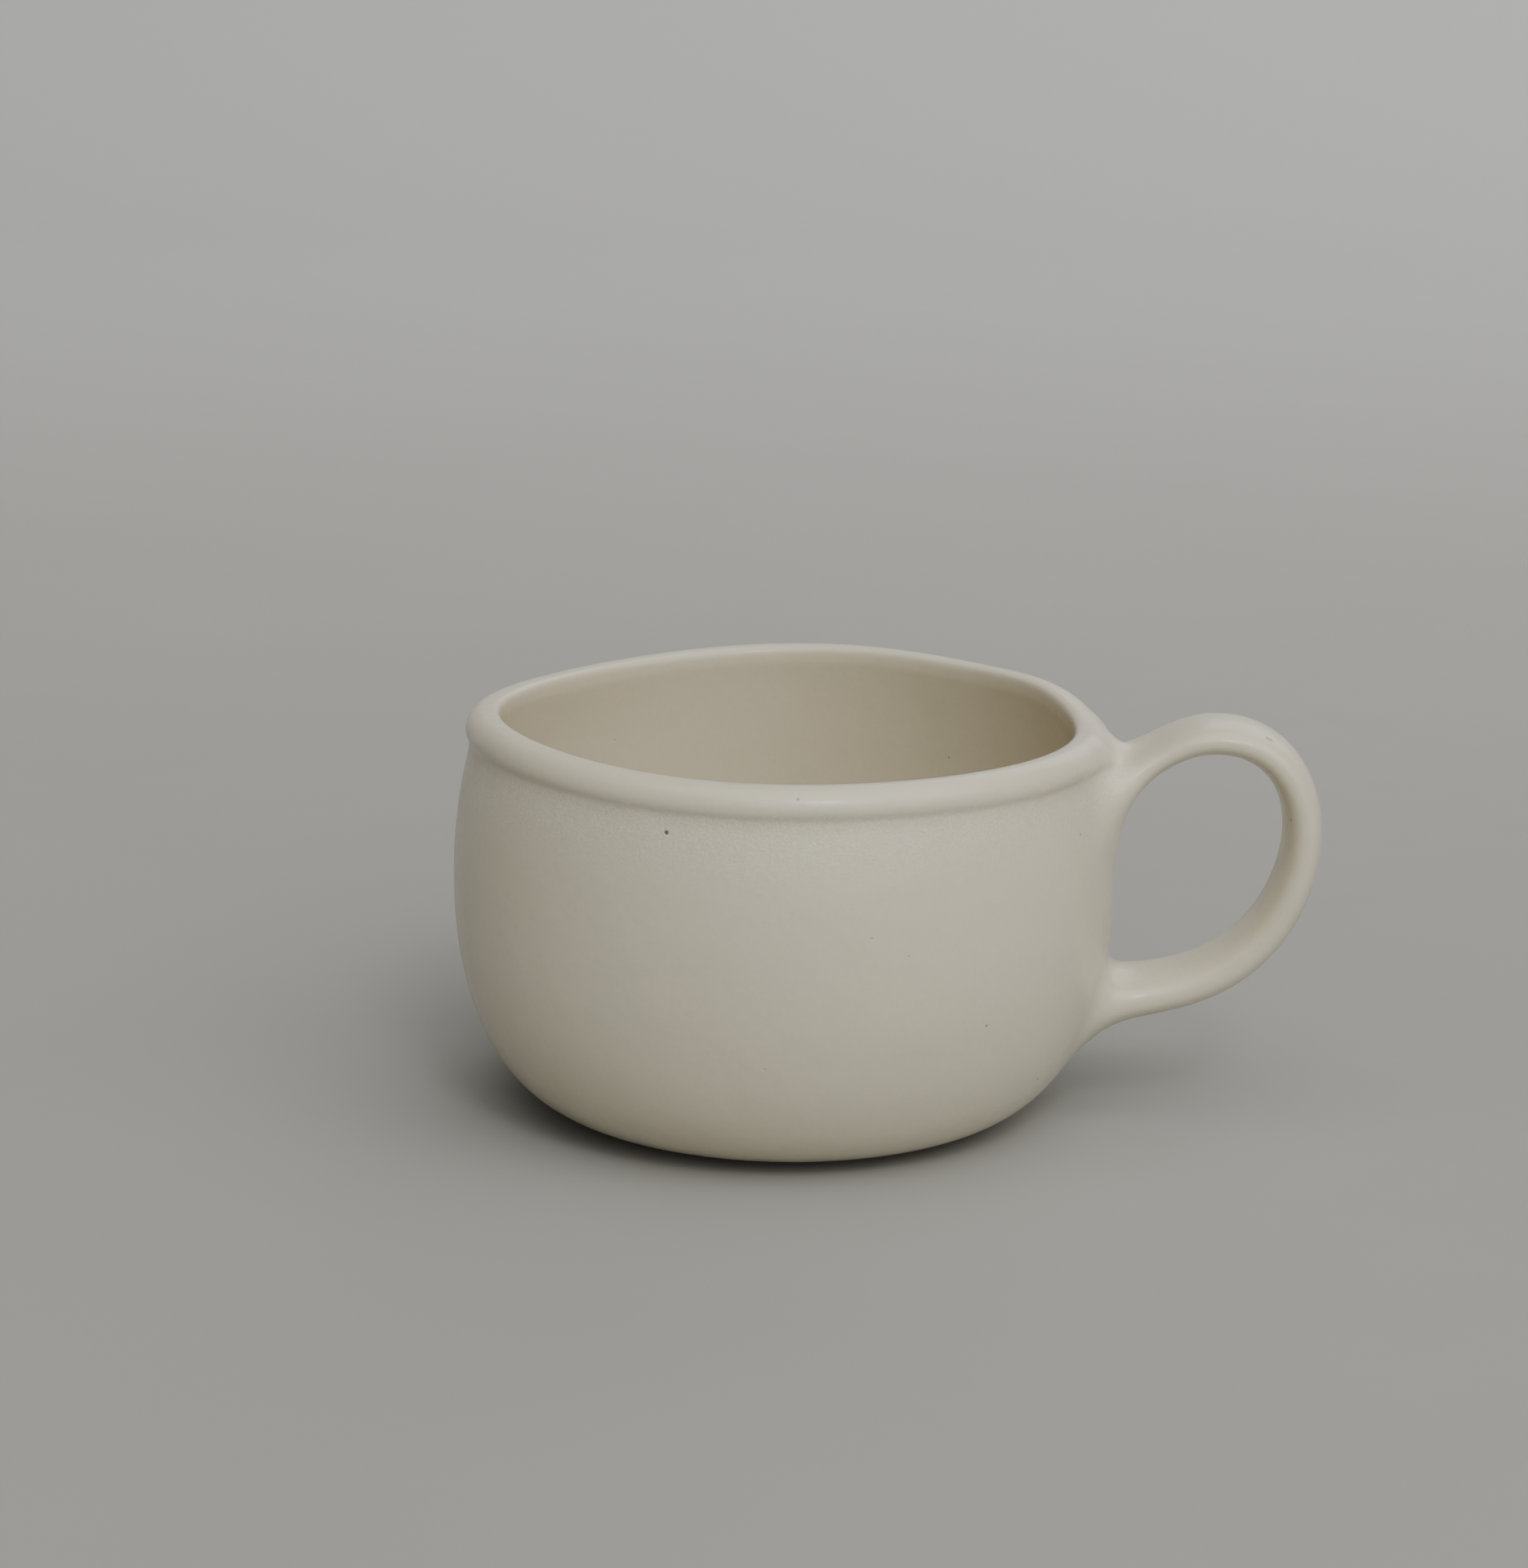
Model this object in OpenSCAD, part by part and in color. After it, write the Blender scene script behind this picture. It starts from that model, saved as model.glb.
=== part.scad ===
// Shaving mug: a wide, low stoneware cup with a rolled rim and one looped strap handle.
// Millimetres, +Z up. The origin is the centre of the foot on the table, and the handle is on +X.

/* [Cup] */
// Widest diameter of the glazed cup
belly_d = 110; // [100:1:120]
// Height of the widest place above the table
belly_z = 39; // [37:0.5:42]
// Diameter where the glazed wall turns under the cup
heel_d = 66; // [64:1:70]
// Height of the glazed heel above the table
heel_z = 1; // [0.8:0.1:1.6]
// Fullness of the curve from heel to belly: 2 is an ellipse, more is squarer
fullness = 2.15; // [2:0.05:2.4]
// Diameter of the wall just under the rolled rim
neck_d = 104.6; // [104:0.2:105.2]
// Height of the crease under the rolled rim
neck_z = 61.7; // [61.2:0.1:62]
// Thickness of the wall at the belly, glaze included
wall_t = 5; // [4.5:0.5:6]

/* [Inside] */
// Height of the glazed floor, where the soap sits
floor_z = 8; // [7:0.5:10]
// Diameter of the flat part of the floor
floor_d = 62; // [56:1:64]

/* [Rim] */
// Diameter of the circle through the middle of the rolled rim
rim_d = 100.6; // [100.2:0.1:101]
// Thickness of the rolled rim
rim_roll_d = 5.7; // [5.4:0.1:6]
// Squareness of the rim's inner edge: 2 is round, more is squarer
lip_square = 5; // [3:0.5:5]
// Height of the mug at the top of the rim
mug_h = 67; // [66.6:0.1:67.6]

/* [Handle] */
// How far the middle of the handle stands out from the belly
handle_reach = 31; // [26:1:36]
// Height of the middle of the handle where it springs from the lower wall
handle_low_z = 19; // [18:0.5:20]
// Rise from there to the handle's highest point, strap thickness left out
handle_rise = 46; // [44:0.5:47]
// Width of the strap, across the hand
strap_w = 17; // [14:0.5:20]
// Thickness of the strap at its upper root
strap_t_upper = 5.4; // [5:0.1:6.5]
// Thickness of the strap at its lower root
strap_t_lower = 7; // [5.5:0.1:7.5]

/* [Finish] */
// Thickness of the glaze coat
glaze_t = 0.4; // [0.3:0.05:0.5]
// Outer diameter of the bare foot ring
foot_d = 63; // [58:0.5:63]
// Width of the bare foot ring
foot_w = 5; // [4:0.5:6]
// Height of the bare foot ring, which is let into the base
foot_h = 2.6; // [2.4:0.1:3.5]

/* [Hidden] */
$fn = 96;
clay_colour = [0.78, 0.72, 0.62];
slip_colour = [0.74, 0.68, 0.58];
glaze_colour = [0.72, 0.70, 0.64];

// Cup outline, as points [radius, height]
belly_r = belly_d / 2;
heel_r = heel_d / 2;
neck_r = neck_d / 2;
rim_r = rim_d / 2;
roll_r = rim_roll_d / 2;
roll_z = mug_h - roll_r;
neck_bend = 2.3;          // power of the curve from belly to neck
roll_under = 45;          // angle below level where the roll meets the neck
inner_r = belly_r - wall_t;
floor_r = floor_d / 2;
joint_z = roll_z - roll_r * sin(roll_under);   // level joint between wall and roll
wall_steps = 14;
neck_steps = 7;
roll_steps = 10;

// Quarter of a squared ellipse from [r0, z0], level, to [r1, z1], upright
function squared_quarter(r0, z0, r1, z1, n) = [
    for (i = [0:n])
        let (a = 90 * i / n, k = 2 / fullness)
        [r0 + (r1 - r0) * pow(sin(a), k), z1 - (z1 - z0) * pow(cos(a), k)]];

// Curve that leaves [r0, z0] upright and leans in to [r1, z1]
function leaning_wall(r0, z0, r1, z1, bend, n) = [
    for (i = [1:n]) let (s = i / n) [r0 + (r1 - r0) * pow(s, bend), z0 + (z1 - z0) * s]];

// Arc of the rolled rim between two angles
function roll_arc(a0, a1, n) = [
    for (i = [0:n])
        let (a = a0 + (a1 - a0) * i / n) [rim_r + roll_r * cos(a), roll_z + roll_r * sin(a)]];

// Inner side of the roll, squarer than a circle, from the inner wall up to the crest
function lip_curve(n) = [
    for (i = [0:n])
        let (a = 90 * i / n, k = 2 / lip_square)
        [rim_r - roll_r * pow(cos(a), k), roll_z + roll_r * pow(sin(a), k)]];

// Unit vector to the left of the line from p to q
function left_of(p, q) = let (d = q - p) [-d[1], d[0]] / norm(d);

// The same path moved sideways by d, to its left
function moved_left(path, d) = let (last = len(path) - 1) [
    for (i = [0:last])
        let (p = path[max(i - 1, 0)], q = path[min(i + 1, last)]) path[i] + d * left_of(p, q)];

function reversed(path) = [for (i = [len(path) - 1:-1:0]) path[i]];

outer_path = concat(
    squared_quarter(heel_r, heel_z, belly_r, belly_z, wall_steps),
    leaning_wall(belly_r, belly_z, neck_r, neck_z, neck_bend, neck_steps),
    roll_arc(-roll_under, 90, roll_steps));

inner_path = concat(
    [[0, floor_z]],
    squared_quarter(floor_r, floor_z, inner_r, belly_z, wall_steps),
    leaning_wall(inner_r, belly_z, rim_r - roll_r, roll_z, 2, neck_steps - 1),
    [for (p = lip_curve(roll_steps)) if (p[1] > roll_z) p]);

outer_clay = moved_left(outer_path, glaze_t);
inner_clay_open = moved_left(inner_path, -glaze_t);
inner_clay = concat([[0, floor_z - glaze_t]], [for (i = [1:len(inner_clay_open) - 1]) inner_clay_open[i]]);

module turned(outline) {
    rotate_extrude(angle = 360) polygon(outline);
}

// The solid inside a turned outer path, closed to the axis
module turned_solid(path) {
    turned(concat([[0, path[0][1]]], path, [[0, path[len(path) - 1][1]]]));
}

// Everything above the level joint between wall and roll
module above_joint() {
    translate([-belly_r, -belly_r, joint_z]) cube([belly_d, belly_d, mug_h]);
}

// Thrown clay wall and base, without roll and foot
module cup_body() {
    color(clay_colour) difference() {
        turned(concat(reversed(inner_clay), [[0, heel_z]], outer_clay));
        above_joint();
        foot_seat();
    }
}

// Recess in the base: the ring sits in it, and the turned hollow is inside the ring
module foot_seat() {
    translate([0, 0, -1]) cylinder(h = foot_h + 1, d = foot_d);
}

module rim_roll() {
    color(clay_colour) intersection() {
        turned(concat(reversed(inner_clay), [[0, heel_z]], outer_clay));
        above_joint();
    }
}

module foot_ring() {
    color(clay_colour) difference() {
        cylinder(h = foot_h, d = foot_d);
        translate([0, 0, -1]) cylinder(h = foot_h + 2, d = foot_d - 2 * foot_w);
    }
}

// Handle: a strap swept along one curve, with its two roots spreading on to the wall
handle_steps = 30;
strap_sides = 20;
strap_square = 2.4;       // 2 is an oval strap, more is squarer

// Control points of the middle line, as shares of reach and rise, from the lower root on the belly
handle_shares = [[-0.13, 0.72], [0.24, 1.09], [0.50, 1.08], [1.77, 1.36],
                 [0.95, -0.24], [0.55, 0.18], [-0.23, 0.00]];
handle_controls = [
    for (p = handle_shares) [belly_r + p[0] * handle_reach, handle_low_z + p[1] * handle_rise]];

// Point on the curve of any set of control points, t from 0 to 1
function curve_at(c, t) = len(c) == 1 ? c[0]
    : curve_at([for (i = [0:len(c) - 2]) c[i] * (1 - t) + c[i + 1] * t], t);

function power_of(v, k) = sign(v) * pow(abs(v), k);

// Share of the curve that is buried in the wall at each end
buried = 0.045;

// What is left of a root's spread and of its lean, at distance s along the curve from its end
function past_wall(s, reach) = min(max(s - buried, 0) / reach, 1);
function fading(s, reach) = pow(1 - past_wall(s, reach), 2);
function leaning(s, reach) = 1 - pow(past_wall(s, reach), 2);

// Spread of each root beyond the plain strap: outside face, finger side, each edge
upper_spread = [2.0, 5.0, 2.5];
lower_spread = [6.0, 1.8, 2.5];
upper_reach = 0.13;
lower_reach = 0.17;
function spread_at(t) =
    fading(t, upper_reach) * upper_spread + fading(1 - t, lower_reach) * lower_spread;

// Direction up or down the wall at each root, which the strap's sections turn to
upper_wall = [-0.1, 1];
lower_wall = [-0.35, -0.94];

// The luting clay stops where it has thinned to this
slip_edge = 0.2;
upper_end = buried + upper_reach * (1 - sqrt(slip_edge / upper_spread[2]));
lower_end = 1 - buried - lower_reach * (1 - sqrt(slip_edge / lower_spread[2]));

// One ring of the strap at t: spread is the growth of outside face, finger side and edges
function strap_ring(t, spread) =
    let (e = 0.002,
         p = curve_at(handle_controls, t),
         d = curve_at(handle_controls, min(t + e, 1)) - curve_at(handle_controls, max(t - e, 0)),
         square = [-d[1], d[0]] / norm(d),
         up = leaning(t, upper_reach),
         low = leaning(1 - t, lower_reach),
         turned_to = (1 - up - low) * square + up * upper_wall + low * lower_wall,
         n = turned_to / norm(turned_to),
         half = (strap_t_upper + (strap_t_lower - strap_t_upper) * t) / 2 / (n * square),
         k = 2 / strap_square)
    [for (i = [0:strap_sides - 1])
        let (a = 360 * i / strap_sides,
             w = (strap_w / 2 + spread[2]) * power_of(cos(a), k),
             h = (half + (sin(a) > 0 ? spread[0] : spread[1])) * power_of(sin(a), k))
        [p[0] + n[0] * h, w, p[1] + n[1] * h]];

no_spread = [0, 0, 0];
coat = [glaze_t, glaze_t, glaze_t];
function steps_between(t0, t1, n) = [for (i = [0:n]) t0 + (t1 - t0) * i / n];
root_steps = 8;
upper_ts = steps_between(0, upper_end, root_steps);
lower_ts = steps_between(lower_end, 1, root_steps);
middle_step = (lower_end - upper_end) / handle_steps;
middle_ts = steps_between(upper_end + middle_step, lower_end - middle_step, handle_steps - 2);
all_ts = concat(upper_ts, middle_ts, lower_ts);

// Rings of the plain strap, of a root with its luting clay, and of the glaze over them all
function strap_rings(ts) = [for (t = ts) strap_ring(t, no_spread)];
function root_rings(ts) = [for (t = ts) strap_ring(t, spread_at(t))];
glaze_rings = [for (t = all_ts) strap_ring(t, spread_at(t) + coat)];

// Four-sided faces between neighbouring rings of n points, m rings in all
function ring_faces(n, m, pairs) = [
    for (j = [0:pairs - 1]) for (i = [0:n - 1])
        let (a = j * n, b = (j + 1) % m * n, k = (i + 1) % n)
        [a + i, b + i, b + k, a + k]];

// Closed bar through a list of rings
module bar(rings) {
    n = len(rings[0]);
    m = len(rings);
    first = [for (i = [0:n - 1]) i];
    last = [for (i = [n - 1:-1:0]) (m - 1) * n + i];
    faces = concat(ring_faces(n, m, m - 1), [first, last]);
    polyhedron([for (ring = rings) each ring], faces, convexity = 6);
}

// Open-ended sleeve: outer rings one way, inner rings back again
module sleeve(outer_rings, inner_rings) {
    rings = concat(outer_rings, reversed(inner_rings));
    m = len(rings);
    polyhedron([for (ring = rings) each ring], ring_faces(len(rings[0]), m, m), convexity = 6);
}

module handle() {
    color(clay_colour) difference() {
        bar(strap_rings(all_ts));
        turned_solid(outer_clay);
    }
}

module luting_joint(ts) {
    color(slip_colour) difference() {
        sleeve(root_rings(ts), strap_rings(ts));
        turned_solid(outer_clay);
    }
}

module upper_luting_joint() {
    luting_joint(upper_ts);
}

module lower_luting_joint() {
    luting_joint(lower_ts);
}

// Glaze coats: the outer coat is open where the two roots meet the wall
module outer_glaze() {
    color(glaze_colour) difference() {
        turned(concat(outer_path, reversed(outer_clay)));
        bar(root_rings(upper_ts));
        bar(root_rings(lower_ts));
    }
}

module inner_glaze() {
    color(glaze_colour) turned(concat(inner_path, reversed(inner_clay)));
}

module handle_glaze() {
    clay_rings = concat(root_rings(upper_ts), strap_rings(middle_ts), root_rings(lower_ts));
    color(glaze_colour) difference() {
        sleeve(glaze_rings, clay_rings);
        turned_solid(outer_path);
    }
}

cup_body();
rim_roll();
foot_ring();
handle();
upper_luting_joint();
lower_luting_joint();
outer_glaze();
inner_glaze();
handle_glaze();
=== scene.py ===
import math

import bpy
import numpy as np
from mathutils import Matrix, Vector


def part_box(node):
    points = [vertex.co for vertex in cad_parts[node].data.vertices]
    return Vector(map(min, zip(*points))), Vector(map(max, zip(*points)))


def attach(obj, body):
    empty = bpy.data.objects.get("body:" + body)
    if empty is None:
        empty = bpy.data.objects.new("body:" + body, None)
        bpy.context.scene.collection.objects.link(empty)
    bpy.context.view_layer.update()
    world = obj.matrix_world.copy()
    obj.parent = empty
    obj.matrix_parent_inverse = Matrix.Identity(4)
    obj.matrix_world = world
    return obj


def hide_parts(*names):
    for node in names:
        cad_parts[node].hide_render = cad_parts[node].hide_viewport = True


# Looks of the shaving mug. Every shape is worked out in millimetres in the CAD model's frame, first
# as the mug was meant to be and then bent by one warp, so that all pieces go out of true together.

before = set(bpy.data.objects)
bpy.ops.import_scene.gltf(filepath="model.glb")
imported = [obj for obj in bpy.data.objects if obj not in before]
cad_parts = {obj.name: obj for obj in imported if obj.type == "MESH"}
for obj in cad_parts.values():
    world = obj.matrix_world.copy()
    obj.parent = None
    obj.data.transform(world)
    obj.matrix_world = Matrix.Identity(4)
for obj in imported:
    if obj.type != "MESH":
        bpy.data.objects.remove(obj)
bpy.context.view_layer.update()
MM = 0.001


def box_mm(node):
    low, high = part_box(node)
    return np.array(low) / MM, np.array(high) / MM


# ---------------------------------------------------------------- sizes in mm, from the CAD nodes

outer_low, outer_high = box_mm("outer_glaze")
_, foot_high = box_mm("foot_ring")
roll_low, _ = box_mm("rim_roll")

BELLY_R = -outer_low[0]
TOP_Z = outer_high[2]
HEEL_Z = outer_low[2]  # lower edge of the glaze
JOINT_Z = roll_low[2]  # where the rim roll sits on the wall
FOOT_R = foot_high[0]
FOOT_TOP = foot_high[2]
FOOT_WIDTH = 5.0
GLAZE = 0.4

# Wall: FULLNESS squares its lower curve (2 is an ellipse), NECK_BEND keeps its top upright for longer
HEEL_R = 33.0
BELLY_Z = 39.0
FULLNESS = 2.15
NECK_R, NECK_Z, NECK_BEND = 52.3, 61.7, 2.3

# Rim roll: widest at BULGE_Z, tucked in by TUCK_R over TUCK_Z below that, sloping above it
ROLL_R = 2.85
ROLL_MID_R, ROLL_MID_Z = 50.3, TOP_Z - ROLL_R
BULGE_Z = TOP_Z - 3.3
TUCK_R, TUCK_Z = 1.1, 1.7
ROLL_SLOPE = 1.75
LIP_SQUARE = 5

# Inside
WALL = 5.0
INNER_R = BELLY_R - WALL
INNER_BEND = 2
FLOOR_Z, FLOOR_R = 8.0, 31.0

# Radii of the softened corners: of the outside, of the crease under the roll, of the inside
OUTER_SOFT, CREASE_SOFT, INNER_SOFT = 0.35, 1.15, 0.3
CREASE_Z, CREASE_SPAN = NECK_Z - 0.7, 1.3

# The camera's side of the mug is turned by this angle, in radians, from square to the handle
HANDLE_TURN = 0.05

# ---------------------------------------------------------------- outlines, as [radius, height]


def squared_quarter(r0, z0, r1, z1, n=160):
    a = np.linspace(0, math.pi / 2, n)
    k = 2 / FULLNESS
    return np.c_[r0 + (r1 - r0) * np.sin(a) ** k, z1 - (z1 - z0) * np.cos(a).clip(0) ** k]


def leaning_wall(r0, z0, r1, z1, bend, n=80):
    s = np.linspace(0, 1, n)[1:]
    return np.c_[r0 + (r1 - r0) * s**bend, z0 + (z1 - z0) * s]


def roll_outside(n=60):
    """The roll's outer side, from the crease up to the crest: tucked in below, sloping above."""
    a = np.radians(np.linspace(70, 0, n))
    tuck = np.c_[ROLL_MID_R + ROLL_R - TUCK_R * (1 - np.cos(a)), BULGE_Z - TUCK_Z * np.sin(a)]
    a = np.linspace(0, math.pi / 2, n)[1:]
    k = 2 / ROLL_SLOPE
    slope_r = ROLL_MID_R + ROLL_R * np.cos(a).clip(0) ** k
    slope_z = BULGE_Z + (TOP_Z - BULGE_Z) * np.sin(a) ** k
    return np.r_[tuck, np.c_[slope_r, slope_z]]


def lengths(path):
    return np.r_[0, np.cumsum(np.hypot(*np.diff(path, axis=0).T))]


def at_lengths(path, s):
    along = lengths(path)
    return np.c_[[np.interp(s, along, path[:, k]) for k in range(path.shape[1])]].T


def softened(path, sigma, step=0.05):
    """The same outline with its corners rounded; its two ends stay."""
    total = lengths(path)[-1]
    s = np.linspace(0, total, int(total / step))
    p = at_lengths(path, s)
    reach = int(3 * sigma / step)
    x = np.arange(-reach, reach + 1) * step
    weight = np.exp(-0.5 * (x / sigma) ** 2)
    weight /= weight.sum()
    first = 2 * p[0] - p[1 : reach + 1][::-1]
    last = 2 * p[-1] - p[-reach - 1 : -1][::-1]
    padded = np.r_[first, p, last]
    return np.c_[[np.convolve(padded[:, k], weight, "valid") for k in range(2)]].T


def moved_left(path, d):
    way = np.gradient(path, axis=0)
    way /= np.hypot(*way.T)[:, None]
    return path + d * np.c_[-way[:, 1], way[:, 0]]


sharp_outer = np.r_[
    squared_quarter(HEEL_R, HEEL_Z, BELLY_R, BELLY_Z),
    leaning_wall(BELLY_R, BELLY_Z, NECK_R, NECK_Z, NECK_BEND),
    roll_outside(),
]
crisp, soft = softened(sharp_outer, OUTER_SOFT), softened(sharp_outer, CREASE_SOFT)
in_crease = np.exp(-(((crisp[:, 1] - CREASE_Z) / CREASE_SPAN) ** 2))[:, None]
outer_line = crisp + in_crease * (soft - crisp)


def lip_inside(n=60):
    """The roll's inner side, from the wall up to the crest, squarer than a circle."""
    a = np.linspace(0, math.pi / 2, n)
    k = 2 / LIP_SQUARE
    return np.c_[ROLL_MID_R - ROLL_R * np.cos(a).clip(0) ** k, ROLL_MID_Z + ROLL_R * np.sin(a) ** k]


inner_neck = lip_inside()[0]
sharp_inner = np.r_[
    squared_quarter(FLOOR_R, FLOOR_Z, INNER_R, BELLY_Z),
    leaning_wall(INNER_R, BELLY_Z, *inner_neck, INNER_BEND),
    lip_inside()[1:],
]
inner_line = softened(sharp_inner, INNER_SOFT)


def spaced(path, spacing, samples=4000):
    """Points along path whose distance apart is spacing(point)."""
    s = np.linspace(0, lengths(path)[-1], samples)
    p = at_lengths(path, s)
    density = 1 / spacing(p)
    count = np.r_[0, np.cumsum((density[1:] + density[:-1]) / 2 * np.diff(s))]
    n = int(round(count[-1]))
    return at_lengths(path, np.interp(np.linspace(0, count[-1], n + 1), count, s))


def smooth_step(x, a, b):
    t = np.clip((x - a) / (b - a), 0, 1)
    return t * t * (3 - 2 * t)


WALL_STEP, ROLL_STEP = 1.3, 0.45
FINE_FROM_Z, FINE_AT_Z = 58.5, 61


def wall_spacing(p):
    """Distance between the rings of points, closer together on the roll."""
    return WALL_STEP + (ROLL_STEP - WALL_STEP) * smooth_step(p[:, 1], FINE_FROM_Z, FINE_AT_Z)


# ---------------------------------------------------------------- handle line and strap

# Control points of the strap's middle line, from the upper root to the lower one: shares of REACH out
# from the belly and of RISE up from LOW_Z
REACH = 31.0
LOW_Z = 18.8
RISE = 46.0
HANDLE_SHARES = [
    (-0.13, 0.72),
    (0.24, 1.09),
    (0.50, 1.08),
    (1.77, 1.36),
    (0.96, -0.24),
    (0.55, 0.18),
    (-0.23, 0.0),
]
# The strap's section: half width, squareness (2 is an ellipse) and how much wider it is at its roots
STRAP_HALF_W = 8.5
STRAP_SQUARE = 2.4
ROOT_FLARE = 0.8
# Half its thickness, growing from the upper root to the lower one
THICKNESS_T = [0, 0.12, 0.25, 0.5, 0.75, 0.88, 1]
THICKNESS_HALF = [2.4, 2.55, 2.75, 3.1, 3.35, 3.6, 4.2]

handle_points = np.array([(BELLY_R + u * REACH, LOW_Z + v * RISE) for u, v in HANDLE_SHARES])


def curve_at(t):
    """Point of the middle line, a Bezier curve, at share t of its way from the upper root."""
    t = np.asarray(t, float)
    n = len(handle_points) - 1
    total = 0
    for i, p in enumerate(handle_points):
        total = total + (math.comb(n, i) * t**i * (1 - t) ** (n - i))[..., None] * p
    return total


def curve_way(t, h=1e-4):
    """Direction of the middle line at t, one unit long."""
    t = np.asarray(t, float)
    way = curve_at(t + h) - curve_at(t - h)
    return way / np.hypot(way[..., 0], way[..., 1])[..., None]


def half_thickness(t):
    return np.interp(t, THICKNESS_T, THICKNESS_HALF)


def half_width(t):
    at_roots = 1 - smooth_step(t, 0, 0.16) + smooth_step(t, 0.84, 1)
    return STRAP_HALF_W + ROOT_FLARE * at_roots


LINE_T = np.linspace(0, 1, 201)
LINE_P = curve_at(LINE_T)
LINE_N = np.c_[-curve_way(LINE_T)[:, 1], curve_way(LINE_T)[:, 0]]


def nearest(p, line, chunk=4000):
    """Nearest point of a polyline to each p: its place in samples, the point and the distance."""
    a, b = line[:-1], line[1:]
    seg = b - a
    best = np.full(len(p), 1e9)
    share = np.zeros(len(p))
    spot = np.zeros((len(p), 2))
    for start in range(0, len(p), chunk):
        q = p[start : start + chunk, None, :]
        u = np.clip(((q - a) * seg).sum(2) / (seg**2).sum(1), 0, 1)
        near = a + u[..., None] * seg
        d = ((q - near) ** 2).sum(2)
        k = d.argmin(1)
        i = np.arange(len(k))
        part = slice(start, start + len(k))
        best[part], share[part], spot[part] = d[i, k], k + u[i, k], near[i, k]
    return share, spot, np.sqrt(best)


def strap_distance(p):
    """Roughly the distance to the plain strap, the side of its middle line, and the share along it."""
    q = p[:, [0, 2]]
    share, spot, away = nearest(q, LINE_P)
    t = share / (len(LINE_T) - 1)
    normal = np.c_[[np.interp(share, np.arange(len(LINE_N)), LINE_N[:, k]) for k in range(2)]].T
    side = ((q - spot) * normal).sum(1)
    w, h = np.abs(p[:, 1]), away
    n = STRAP_SQUARE
    rho = ((w / half_width(t)) ** n + (h / half_thickness(t)) ** n) ** (1 / n)
    return np.hypot(w, h) * (1 - 1 / np.maximum(rho, 1e-3)), side, t


COARSE_OUTER = spaced(outer_line, lambda p: 0.5 * wall_spacing(p))


def cup_distance(p):
    """Distance outside the outer glazed surface, negative in the wall."""
    q = np.c_[np.hypot(p[:, 0], p[:, 1]), p[:, 2]]
    share, spot, away = nearest(q, COARSE_OUTER)
    k = np.minimum(share.astype(int), len(COARSE_OUTER) - 2)
    seg = COARSE_OUTER[k + 1] - COARSE_OUTER[k]
    cross = seg[:, 0] * (q[:, 1] - spot[:, 1]) - seg[:, 1] * (q[:, 0] - spot[:, 0])
    return np.where(cross > 0, -away, away)


def between(pair, share):
    return pair[0] + (pair[1] - pair[0]) * share


# How far the smeared clay reaches on the finger face and the outside face of each root
UPPER_BLEND = (8.5, 9.0)
LOWER_BLEND = (4.5, 8.5)
# The same on the strap's two narrow sides, at the upper and the lower root
SIDE_BLEND = (13.0, 8.0)
SIDE_SHARE = 0.85


def joined_distance(p):
    """Distance outside cup and strap together, with a smooth fillet of smeared clay between them."""
    strap, side, t = strap_distance(p)
    cup = cup_distance(p)
    outside = smooth_step(side, -3, 3)
    lower_half = smooth_step(t, 0.4, 0.6)
    k = between((between(UPPER_BLEND, outside), between(LOWER_BLEND, outside)), lower_half)
    side_k = between(SIDE_BLEND, lower_half)
    k = k + (side_k - k) * SIDE_SHARE * smooth_step(np.abs(p[:, 1]), 4, 10)
    overlap = np.maximum(k - np.abs(cup - strap), 0) / k
    return np.minimum(cup, strap) - overlap**2 * k / 4


def settled(p, distance, steps=5, level=0.0, e=0.02, longest=2.0):
    """p moved on to the surface where distance is level, each step at most longest."""
    p = p.copy()
    axes = e * np.eye(3)
    for _ in range(steps):
        value = distance(p) - level
        grad = np.stack([distance(p + axis) - distance(p - axis) for axis in axes], 1)
        grad /= 2 * e
        size = (grad**2).sum(1).clip(0.05)
        step = (value / size)[:, None] * grad
        reach = np.linalg.norm(step, axis=1).clip(1e-9)
        p -= step * np.minimum(1, longest / reach)[:, None]
    return p


def strap_ring(t, angle, inside=0.0):
    """Points of the strap's surface at t (array) and section angle (array), moved in by inside."""
    p, way = curve_at(t), curve_way(t)
    n = np.stack([-way[..., 1], way[..., 0]], -1)
    k = 2 / STRAP_SQUARE
    c, s = np.cos(angle), np.sin(angle)
    w = (half_width(t) - inside) * np.sign(c) * np.abs(c) ** k
    h = (half_thickness(t) - inside) * np.sign(s) * np.abs(s) ** k
    return np.stack([p[..., 0] + n[..., 0] * h, w, p[..., 1] + n[..., 1] * h], -1)


# ---------------------------------------------------------------- the one warp


def bump(turn, centre, width):
    """1 at one side of the mug, fading to 0 either way round; centre and width in degrees."""
    away = (turn - math.radians(centre) + math.pi) % (2 * math.pi) - math.pi
    return np.exp(-((away / math.radians(width)) ** 2))


# Rim height and mouth radius out of true, in mm: cosine and sine share of each number of waves
RIM_WAVES = {1: (-0.20, 0.43), 2: (-0.25, 0.20), 3: (-0.41, -0.53)}
MOUTH_WAVES = {2: (-0.58, -0.09), 3: (-0.11, -0.25)}
# Single swellings of both: size in mm, centre and width in degrees
RIM_BUMPS = [(1.5, 26, 20), (-0.6, -42, 34)]
MOUTH_BUMPS = [(0.38, 180, 28), (0.4, 8, 30)]
# Hand marks: depth in mm, waves round, turn per mm of height, start
HAND_MARKS = [(0.08, 3, 0.11, 1.0), (0.05, 5, -0.19, 0.0), (0.012, 1, 0.55, 0.0)]
MOUTH_R = 50
# Heights from where the mug starts to be out of true and where it is wholly so, in mm
TRUE_BELOW_Z, LOOSE_ABOVE_Z = 12, 62
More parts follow.
